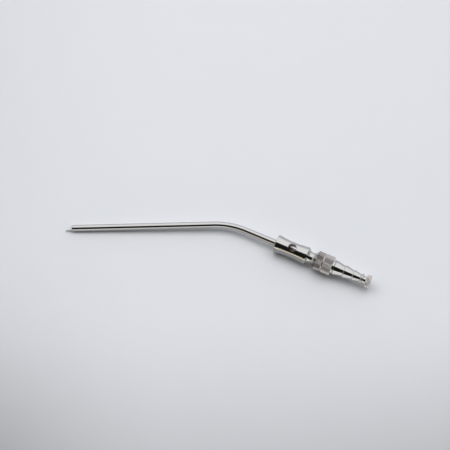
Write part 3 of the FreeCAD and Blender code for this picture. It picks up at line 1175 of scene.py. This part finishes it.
@dataclass
class HandleAssembly:
    """The handle: grip, vent, neck and fixed knurled ring."""

    shop: Workshop
    sizes: HandleSizes = field(default_factory=HandleSizes)
    joint: JointSizes = field(default_factory=JointSizes)
    diamonds: int = 60

    @property
    def knurl(self) -> Knurl:
        """Knurling of the fixed ring."""
        return Knurl(self.diamonds, self.sizes.ring, self.sizes.knurl_depth, self.sizes.ring_x)

    def build(self) -> None:
        """Makes and installs the handle body."""
        skin = carried(self._outline(), self.knurl.around, relief=self.knurl.drop)
        piece = self.shop.make("waisted_grip", skin, Finish.POLISHED, Finish.KNURLED, Finish.BORED)
        self._drill(piece)
        self.shop.install(piece, "handle_body", "handle", "handle_steel")

    def _outline(self) -> Outline:
        """Draws the body: outside first, then the bores from the rear."""
        outline = Outline().to((0, self.sizes.chamber))
        self._grip(outline)
        self._ring(outline)
        self._bores(outline)
        return outline.joined()

    def _grip(self, outline: Outline) -> None:
        """Adds the waisted grip and the neck behind it."""
        sizes = self.sizes
        half = sizes.length / 2 - sizes.land
        sag = sizes.grip - sizes.waist
        waist_radius = (half**2 + sag**2) / (2 * sag)
        outline.to((0, sizes.grip, sizes.front_edge), (sizes.land, sizes.grip))
        outline.arc((sizes.waist_x, sizes.waist + waist_radius), 2 * math.asin(half / waist_radius), 64)
        x, radius = centre = (sizes.neck_x, sizes.neck + sizes.neck_radius)
        turn = math.asin((sizes.neck_x - sizes.length - sizes.neck_setback) / sizes.neck_radius)
        start = (x - sizes.neck_radius * math.sin(turn), radius - sizes.neck_radius * math.cos(turn))
        outline.to((sizes.length, sizes.grip, sizes.rear_edge), start)
        outline.arc(centre, turn + sizes.neck_rise, 28)

    def _ring(self, outline: Outline) -> None:
        """Adds the knurled ring and the plain land behind it."""
        sizes = self.sizes
        back = sizes.parting - sizes.land_length
        outline.to((sizes.ring_x - sizes.ring_start, sizes.ring - sizes.ring_start))
        outline.to((sizes.ring_x, sizes.ring), surface=Surface.KNURLED)
        outline.knurled(self.knurl, sizes.ring_end)
        outline.to(
            (back, sizes.ring - sizes.ring_edge, sizes.ring_round),
            (back, sizes.land_radius, sizes.land_root),
            (sizes.parting, sizes.land_radius, sizes.land_round),
        )

    def _bores(self, outline: Outline) -> None:
        """Adds the threaded bore, the pilot's, the neck's and the chamber."""
        sizes, joint = self.sizes, self.joint
        thread, pilot = joint.thread + joint.fit, joint.pilot + joint.fit
        thread_floor = sizes.parting - joint.length - joint.fit
        pilot_floor = thread_floor - joint.pilot_length
        chamber_end = sizes.length - sizes.chamber_back
        cone = (sizes.chamber - sizes.neck_bore) / math.tan(sizes.drill_point)
        outline.to((sizes.parting, thread, sizes.land_round))
        outline.to(
            (thread_floor, thread),
            (thread_floor, pilot),
            (pilot_floor, pilot),
            (pilot_floor, sizes.neck_bore),
            (chamber_end + cone, sizes.neck_bore),
            (chamber_end, sizes.chamber),
            surface=Surface.BORED,
        )
        outline.run(0, sizes.chamber, 12, Surface.BORED)

    def _drill(self, piece: bpy.types.Object) -> None:
        """Cuts the vent and its countersunk edge out of the handle body."""
        sizes = self.sizes
        edge = sizes.vent_edge
        wide = sizes.vent + 2 * edge
        outline = Outline().to((0, 0), (0, sizes.vent)).run(sizes.waist - edge, sizes.vent, 6)
        outline.to((sizes.waist + edge, wide), (sizes.grip, wide), (sizes.grip, 0))
        skin = carried(outline, 128, closed=False)
        depth, across, along = skin.points.T
        skin.points = np.stack([sizes.vent_x + across, along, depth], axis=1)
        skin.kinds[:] = Surface.BORED
        cutter = self.shop.make("vent_drill", skin, Finish.POLISHED, Finish.KNURLED, Finish.BORED)
        cut = piece.modifiers.new("vent", "BOOLEAN")
        cut.object = cutter
        cut.operation = "DIFFERENCE"
        cut.solver = "EXACT"
        cut.material_mode = "INDEX"
        whole = bpy.data.meshes.new_from_object(piece.evaluated_get(bpy.context.evaluated_depsgraph_get()))
        piece.modifiers.clear()
        piece.data = whole
        whole.name = piece.name
        whole.set_sharp_from_angle(angle=self.shop.crease)
        bpy.data.objects.remove(cutter)


@dataclass
class ConnectorAssembly:
    """The hose connector and its O-ring."""

    shop: Workshop
    handle: HandleSizes = field(default_factory=HandleSizes)
    joint: JointSizes = field(default_factory=JointSizes)
    sizes: ConnectorSizes = field(default_factory=ConnectorSizes)
    diamonds: int = 60

    @property
    def pilot_x(self) -> float:
        """Station of the pilot's end."""
        return self.handle.parting - self.joint.length - self.joint.pilot_length

    @property
    def groove_x(self) -> float:
        """Station of the middle of the O-ring's groove."""
        return self.pilot_x + self.joint.pilot_length / 2

    @property
    def end(self) -> float:
        """Station of the connector's hose end."""
        return self.sizes.barbs_x(self.handle) + sum(self.sizes.barb_lengths)

    @property
    def knurl(self) -> Knurl:
        """Knurling of the loose ring."""
        return Knurl(self.diamonds, self.handle.ring, self.handle.knurl_depth, self.handle.loose_x)

    @property
    def thread(self) -> Thread:
        """Thread of the spigot."""
        start, end = self.handle.parting - self.joint.length, self.handle.parting - self.joint.relief / 2
        return Thread(self.joint.thread, start, end, self.joint.pitch, self.joint.depth)

    def build(self) -> None:
        """Makes and installs both pieces."""
        skin = carried(self._outline(), self.knurl.around, relief=self._relief)
        piece = self.shop.make("hose_end", skin, Finish.POLISHED, Finish.KNURLED, Finish.BORED)
        self.shop.install(piece, "hose_connector", "connector", "connector_steel")
        piece = self.shop.make("squeezed_ring", carried(self._seal(), 128), Finish.RUBBER)
        self.shop.install(piece, "connector_seal", "seal", "seal_rubber")

    def _relief(self, stations: Array, radii: Array, angles: Array) -> Array:
        """Depth of the knurling on the ring and of the thread on the spigot."""
        return self.knurl.drop(stations, radii, angles) + self.thread.drop(stations, radii, angles)

    def _outline(self) -> Outline:
        """Draws the connector: outside first, then the bore from the hose end."""
        outline = Outline().to((self.pilot_x, self.sizes.bore))
        self._spigot(outline)
        self._ring(outline)
        self._barbs(outline)
        outline.run(self.pilot_x, self.sizes.bore, 10, Surface.BORED)
        return outline.joined()

    def _spigot(self, outline: Outline) -> None:
        """Adds the pilot with the O-ring's groove, and the thread."""
        joint, thread = self.joint, self.thread
        front, back = self.groove_x - joint.groove_width / 2, self.groove_x + joint.groove_width / 2
        floor, root = joint.pilot - joint.groove_depth, joint.thread - joint.depth
        outline.to(
            (self.pilot_x, joint.pilot, self.sizes.end_edge),
            (front, joint.pilot, joint.groove_edge),
            (front, floor, joint.groove_root),
            (back, floor, joint.groove_root),
            (back, joint.pilot, joint.groove_edge),
            (thread.start, joint.pilot),
            (thread.start, root),
            (thread.start + joint.step, joint.thread),
        )
        outline.run(thread.end, joint.thread, 40)
        outline.to((thread.end + joint.step, root), (self.handle.parting, root, self.handle.land_root))

    def _ring(self, outline: Outline) -> None:
        """Adds the loose knurled ring with the plain land before it."""
        handle = self.handle
        front, back = handle.loose_x - handle.ring_edge, handle.loose_end + handle.ring_edge
        side = handle.ring - handle.ring_edge
        outline.to(
            (handle.parting, handle.land_radius, handle.land_round),
            (front, handle.land_radius, handle.land_root),
            (front, side, handle.ring_round),
            (handle.loose_x, handle.ring),
        )
        outline.knurled(self.knurl, handle.loose_end)
        outline.to((back, side, handle.ring_round), (back, self.sizes.relief, self.sizes.relief_round))

    def _barbs(self, outline: Outline) -> None:
        """Adds the barbs and the hose end."""
        sizes = self.sizes
        start = sizes.barbs_x(self.handle)
        outline.to((start, sizes.relief, sizes.relief_round))
        for length, crest, root in zip(sizes.barb_lengths, sizes.crests, sizes.roots):
            land = (start + sizes.barb_land, crest, sizes.land_edge)
            outline.to((start, crest, sizes.crest_round), land)
            start += length
            outline.to((start, root, sizes.root_round))
        outline.to((self.end, sizes.bore, sizes.root_round))

    def _seal(self) -> Outline:
        """Draws the O-ring, squeezed to a rectangle with two round ends of the cord's area."""
        joint = self.joint
        inner = joint.pilot - joint.groove_depth + joint.seal_gap
        outer = joint.pilot + joint.fit - joint.seal_gap
        half = (outer - inner) / 2
        flat = math.pi * (joint.cord**2 - half**2) / (2 * half)
        front, back = self.groove_x - flat / 2, self.groove_x + flat / 2
        outline = Outline().to((front, inner)).arc((front, inner + half), -math.pi, 16)
        return outline.to((back, outer)).arc((back, inner + half), -math.pi, 16)


@dataclass
class StyletAssembly:
    """The stylet: knobbed head, wire and the braze between them."""

    shop: Workshop
    connector: ConnectorAssembly
    tube: TubeSizes = field(default_factory=TubeSizes)
    sizes: StyletSizes = field(default_factory=StyletSizes)
    diamonds: int = 48

    @property
    def plug_x(self) -> float:
        """Station of the plug's nose."""
        return self.connector.end - self.sizes.plug_length

    @property
    def knob_x(self) -> float:
        """Station of the knob's front face."""
        return self.connector.end + self.sizes.flange_length + self.sizes.stem_length

    @property
    def knurl(self) -> Knurl:
        """Fine knurling of the knob."""
        sizes = self.sizes
        return Knurl(self.diamonds, sizes.knob, sizes.knurl_depth, self.knob_x + sizes.knob_edge)

    def build(self) -> None:
        """Makes and installs the three pieces."""
        shop = self.shop
        skin = carried(self._head(), self.knurl.around, closed=False, relief=self.knurl.drop)
        piece = shop.make("knobbed_plug", skin, Finish.POLISHED, Finish.MATT, Finish.BORED)
        shop.install(piece, "stylet_head", "stylet", "stylet_steel")
        fillet = braze_outline(self.plug_x, self.sizes.wire, self.tube.braze_leg)
        piece = shop.make("plug_braze", carried(fillet, 48), Finish.BRAZE)
        shop.install(piece, "stylet_braze", "stylet", "silver_braze")
        route = PointPath(self._route())
        skin = carried(self._wire(route.stations[-1]), 24, route, closed=False)
        piece = shop.make("clearing_wire", skin, Finish.WIRE)
        shop.install(piece, "stylet_wire", "stylet", "wire_steel")
        tuple(shop.place.place(np.array([self.plug_x, 0.0, 0.0])))
        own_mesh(piece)

    def _head(self) -> Outline:
        """Draws the head, from the floor of the wire's socket round to the dished end."""
        sizes, matt, small = self.sizes, Surface.KNURLED, self.sizes.small_round
        plug = self.connector.sizes.bore - self.connector.joint.fit
        end, socket = self.connector.end, self.plug_x + sizes.socket
        bulge = sizes.flange_length / 2
        outline = Outline().to(
            (socket, 0),
            (socket, sizes.wire),
            (self.plug_x, sizes.wire),
            (self.plug_x, sizes.plug_tip, small),
            (self.plug_x + sizes.plug_taper, plug, sizes.taper_round),
            (end, plug),
            (end, sizes.flange - bulge),
        )
        outline.arc((end + bulge, sizes.flange - bulge), -math.pi, 20)
        outline.to((end + sizes.flange_length, sizes.stem), (self.knob_x, sizes.stem, small))
        face, knob_end = sizes.knob - sizes.knob_edge, self.knob_x + sizes.knob_length
        outline.to((self.knob_x, face, small), (self.knurl.start, sizes.knob), surface=matt)
        outline.knurled(self.knurl, knob_end - sizes.knob_edge)
        outline.to((knob_end, face, small), (knob_end, sizes.dish, small), surface=matt)
        return outline.run(knob_end - sizes.dish_depth, 0, 8, matt)

    def _wire(self, length: float) -> Outline:
        """Draws a wire of some length with rounded ends."""
        radius = self.sizes.wire
        rim = radius * 0.3
        outline = Outline().to((0, 0), (0, radius, rim)).run(length - 3 * rim, radius, 360)
        return outline.to((length, radius, rim), (length, 0))

    def _route(self) -> Array:
        """Lays out the wire's centreline, from its end in the socket to its free end.

        It sinks half way to the floor of the bore, follows the bend, and near the tip leans
        towards the bend's centre until it all but touches the rim.

        Returns:
            Points in the handle's frame.
        """
        sizes, tube = self.sizes, self.tube
        room = tube.bore - sizes.wire
        low = room / 2
        corner_x = -tube.handle_leg - tube.bend_radius * math.tan(tube.bend / 2)
        (start, tip), _, (_, side) = BentPath(tube).at(np.array([tube.length - sizes.droop, tube.length]))
        up = np.array([0.0, 0.0, 1.0])
        at_tip = tip - (side * math.cos(sizes.lean) + up * math.sin(sizes.lean)) * (room - sizes.gap)
        droop_start = start - up * low
        free_end = at_tip + (at_tip - droop_start) * sizes.reach / sizes.droop
        corners = [
            np.array([self.plug_x + sizes.socket, 0.0, 0.0]),
            np.array([self.plug_x - sizes.straight, 0.0, 0.0]),
            np.array([corner_x, 0.0, -low]),
            droop_start,
            free_end,
        ]
        return rounded_route(corners, [sizes.ease, tube.bend_radius, sizes.ease], 0.5)


# --------------------------------------------------------------------------- studio


@dataclass(frozen=True)
class Table:
    """A pale matt table. Distances are in metres.

    Painted shade darkens it towards the front, the left and, hardly, the right of the view. For
    glossy rays it shows painted shade before the handle and past the tip, and a painted highlight at the
    connector.

    Attributes:
        azimuth: the camera's bearing from -Y towards +X.
        size: side of the table.
        colour: its colour.
        front: span of depth over which painted shade darkens it towards the front.
        sides: span over which painted shade darkens it to the left and to the right.
        near: span of depth over which painted shade darkens the left more.
        shares: painted shade at the front, left, right, near left and front corners.
        grain: scale and strength of its faint grain.
        edge: where to the right, over what distance and by how much the edge of the painted shade in
        reflections comes forward.
        soft: depth over which that edge is soft.
        dimming: how much darker, as painted shade, metal mirrors it before the handle.
        tip: x span over which its mirror image darkens past the tip, as painted shade.
        tip_dimming: how much darker, as painted shade, it is there.
        hose: x span from the handle's end to the connector.
        glow: colour of a painted highlight that metal mirrors at the connector, where the table glows for
            glossy rays.
        glow_depth: y span over which that painted highlight ends behind the handle's axis.
        glow_end: x span over which it ends towards the hose.
    """

    azimuth: float
    size: float = 4.0
    colour: Colour = (0.845, 0.868, 0.91)
    front: Span = (0.03, 0.2)
    sides: Span = (0.02, 0.26)
    near: Span = (-0.02, 0.12)
    shares: tuple[float, ...] = (0.38, 0.12, 0.02, 0.3, 0.15)
    grain: Span = (55.0, 0.02)
    edge: tuple[float, float, float] = (0.03, 0.08, 0.034)
    soft: float = 0.006
    dimming: float = 0.3
    tip: Span = (0.128, 0.135)
    tip_dimming: float = 0.9
    hose: Span = (0.058, 0.067)
    glow: Colour = (0.75, 0.73, 0.7)
    glow_depth: Span = (-0.002, 0.012)
    glow_end: Span = (0.09, 0.1)

    def build(self) -> None:
        """Makes the table."""
        half = self.size / 2
        corners = [(-half, -half, 0.0), (half, -half, 0.0), (half, half, 0.0), (-half, half, 0.0)]
        mesh = bpy.data.meshes.new("table")
        mesh.from_pydata(corners, [], [(0, 1, 2, 3)])
        mesh.materials.append(self._material())
        table = bpy.data.objects.new("table", mesh)
        bpy.context.scene.collection.objects.link(table)

    def _material(self) -> bpy.types.Material:
        """Makes the table's material."""
        material = bpy.data.materials.new("pale table")
        graph = Graph(material)
        spot = graph.add("TexCoord").outputs["Object"]
        turn = {"Vector": spot, "Angle": -self.azimuth}
        turned = graph.add("VectorRotate", {"rotation_type": "Z_AXIS"}, turn)
        across, depth, _ = graph.split(turned.outputs[0])
        scale, strength = self.grain
        # Painted shade: the table darkens towards the front and the sides in place of the light's falloff.
        # The noise is its own grain.
        shade = self._shade(across, depth) + graph.noise(spot, scale) * strength
        x, y, _ = graph.split(spot)
        mirrored = graph.value("LightPath", "Is Glossy Ray")
        start, length, shift = self.edge
        line = depth + (across - start).stepped(0.0, length) * shift
        # Painted shade in reflections: only glossy rays see the table darker before the handle and past the
        # tip.
        painted_reflection_shade = (-line).stepped(0.0, self.soft) * x.stepped(*self.hose, self.dimming, 0.0)
        painted_reflection_shade = mirrored * (painted_reflection_shade + (-x).stepped(*self.tip) * self.tip_dimming)
        # Painted highlight: only glossy rays see the table glow near the connector, a bright reflection
        # that no lamp makes.
        painted_highlight_mask = x.stepped(*self.hose) * y.stepped(*self.glow_depth, 1.0, 0.0)
        painted_highlight_mask = painted_highlight_mask * x.stepped(*self.glow_end, 1.0, 0.0)
        colour = graph.mixed(shade, self.colour, BLACK)
        graph.finish(
            Base_Color=graph.mixed(painted_reflection_shade, colour, BLACK),
            Roughness=0.75,
            Specular_IOR_Level=0.25,
            Emission_Color=graph.mixed(mirrored * painted_highlight_mask, BLACK, self.glow),
            Emission_Strength=1.0,
        )
        return material

    def _shade(self, across: Value, depth: Value) -> Value:
        """Works out how much painted shade darkens the table.

        Args:
            across: distance to the right of the view's middle.
            depth: distance behind it.

        Returns:
            The share of black, which is painted shade.
        """
        at_front, at_left, at_right, near_left, in_corners = self.shares
        front, near = (-depth).stepped(*self.front), (-depth).stepped(*self.near)
        left, right = (-across).stepped(*self.sides), across.stepped(*self.sides)
        sides = front * at_front + left * at_left + right * at_right
        return sides + near * left * near_left + front * (left + right) * in_corners


@dataclass(frozen=True)
class Sky:
    """A white studio: bright over and behind the object, dark over the camera.

    Attributes:
        strength: radiance of a white part of the studio.
        fill: share of its light that matt surfaces get. The rest of theirs is the lamp's.
        bands: colours by angle, in degrees from the zenith towards the front.
        right: how far to the right the studio starts and ends to fade.
        right_fade: how much of it fades there.
        low: angles, in turns from the back, of a low strip of light on the right.
        low_right: how far to the right that strip starts and is full.
        low_colour: its colour.
        left: how far to the left an even screen starts and is full.
        left_colour: the screen's colour.
        backdrop: what the camera sees past the table.
    """

    strength: float = 3.6
    fill: float = 0.58
    bands: tuple[tuple[float, Colour], ...] = (
        (-180.0, (0.2, 0.2, 0.21)),
        (-92.0, (0.2, 0.2, 0.21)),
        (-86.0, (0.26, 0.26, 0.27)),
        (-62.0, (0.38, 0.38, 0.39)),
        (-42.0, (0.41, 0.41, 0.415)),
        (-26.0, (0.38, 0.38, 0.385)),
        (-10.0, (0.42, 0.42, 0.42)),
        (0.5, (0.42, 0.42, 0.42)),
        (4.0, (0.004, 0.004, 0.004)),
        (69.0, (0.004, 0.004, 0.004)),
        (71.5, (0.42, 0.34, 0.21)),
        (78.0, (0.34, 0.31, 0.26)),
        (90.0, (0.27, 0.265, 0.255)),
        (180.0, (0.2, 0.2, 0.21)),
    )
    right: Span = (0.35, 0.9)
    right_fade: float = 0.6
    low: tuple[Span, Span] = ((0.69, 0.7), (0.75, 0.76))
    low_right: Span = (0.06, 0.18)
    low_colour: Colour = (0.46, 0.45, 0.44)
    left: Span = (0.5, 0.9)
    left_colour: Colour = (0.26, 0.26, 0.262)
    backdrop: Colour = (0.74, 0.77, 0.81)

    def build(self) -> None:
        """Makes the world. Its colour follows the angle in the plane across the handle."""
        world = bpy.data.worlds.new("studio")
        bpy.context.scene.world = world
        graph = Graph(world)
        x, y, z = graph.split(graph.add("TexCoord").outputs["Generated"])
        angle = (-y).angle_from(z) * (0.5 / math.pi) + 0.5
        stops = [((degrees + 180.0) / 360.0, colour) for degrees, colour in self.bands]
        ramp = graph.add("ValToRGB", {"stops": stops}, {0: angle})
        sky = graph.mixed(x.stepped(*self.right, 0.0, self.right_fade), ramp.outputs[0], BLACK)
        rise, fall = self.low
        low = angle.stepped(*rise) * angle.stepped(*fall, 1.0, 0.0) * x.stepped(*self.low_right)
        sky = graph.mixed(low, sky, self.low_colour)
        sky = graph.mixed((-x).stepped(*self.left), sky, self.left_colour)
        ray = graph.add("LightPath")
        glossy = Value(graph, ray.outputs["Is Glossy Ray"])
        level = glossy * (self.strength * (1 - self.fill)) + self.strength * self.fill
        seen = graph.add("Background", {}, {"Color": (*self.backdrop, 1.0), "Strength": 1.0})
        light = graph.add("Background", {}, {"Color": sky, "Strength": level})
        layers = {0: ray.outputs["Is Camera Ray"], 1: light.outputs[0], 2: seen.outputs[0]}
        mix = graph.add("MixShader", {}, layers)
        graph.add("OutputWorld", {}, {"Surface": mix.outputs[0]})


@dataclass(frozen=True)
class Studio:
    """Camera, lamp, table and sky.

    Attributes:
        azimuth: the camera's bearing from -Y towards +X.
        elevation: the camera's height above the horizon.
        lens: focal length in millimetres.
        view_width: width of the view at the target, in millimetres.
        target: point of the table at the middle of the view, in millimetres.
        sensor: width of the camera's sensor, in millimetres.
        far: greatest distance that the camera sees, in metres.
        lamp: the lamp's place, in metres from the target.
        lamp_size: width and depth of the lamp, in metres.
        lamp_power: power of the lamp, in watts.
    """

    azimuth: float = math.radians(24.15)
    elevation: float = math.radians(70.0)
    lens: float = 120.0
    view_width: float = 280.2
    target: tuple[float, float, float] = (-4.16, 19.19, 0.0)
    sensor: float = 36.0
    far: float = 50.0
    lamp: tuple[float, float, float] = (-0.25, 0.47, 1.5)
    lamp_size: Span = (3.0, 1.0)
    lamp_power: float = 18.5

    def build(self) -> None:
        """Makes the camera, the table, the lamp and the world."""
        bpy.context.scene.view_settings.view_transform = "Standard"
        self._camera()
        Table(self.azimuth).build()
        self._lamp()
        Sky().build()

    def _camera(self) -> None:
        """Places the camera along its bearing, with the x axis level."""
        level = math.cos(self.elevation)
        ground = (math.sin(self.azimuth) * level, -math.cos(self.azimuth) * level)
        away = Vector((*ground, math.sin(self.elevation)))
        data = bpy.data.cameras.new("camera")
        data.lens = self.lens
        data.sensor_width = self.sensor
        data.clip_end = self.far
        camera = bpy.data.objects.new("camera", data)
        distance = self.lens / self.sensor * self.view_width
        camera.location = (Vector(self.target) + away * distance) * MM
        camera.rotation_euler = away.to_track_quat("Z", "Y").to_euler()
        bpy.context.scene.collection.objects.link(camera)
        bpy.context.scene.camera = camera

    def _lamp(self) -> None:
        """Places a soft lamp behind on the left, which polished metal does not mirror."""
        data = bpy.data.lights.new("soft lamp", "AREA")
        data.shape = "RECTANGLE"
        data.size, data.size_y = self.lamp_size
        data.energy = self.lamp_power
        lamp = bpy.data.objects.new("soft lamp", data)
        lamp.location = Vector(self.target) * MM + Vector(self.lamp)
        lamp.rotation_euler = Vector(self.lamp).to_track_quat("Z", "Y").to_euler()
        lamp.visible_glossy = False
        bpy.context.scene.collection.objects.link(lamp)


# --------------------------------------------------------------------------- main


def main() -> None:
    """Builds the instrument's assemblies and the studio."""
    logging.basicConfig(level=logging.INFO, format="%(name)s: %(message)s")
    sizes = ConnectorSizes()
    barb_x = sizes.barbs_x(HandleSizes()) + sizes.barb_land / 2
    shop = Workshop(HandleFrame.from_record(frame["record"], barb_x, TubeSizes().bend))
    TubeAssembly(shop).build()
    HandleAssembly(shop).build()
    hose_end = ConnectorAssembly(shop)
    hose_end.build()
    StyletAssembly(shop, hose_end).build()
    Studio().build()


if __name__ == "__main__":
    main()
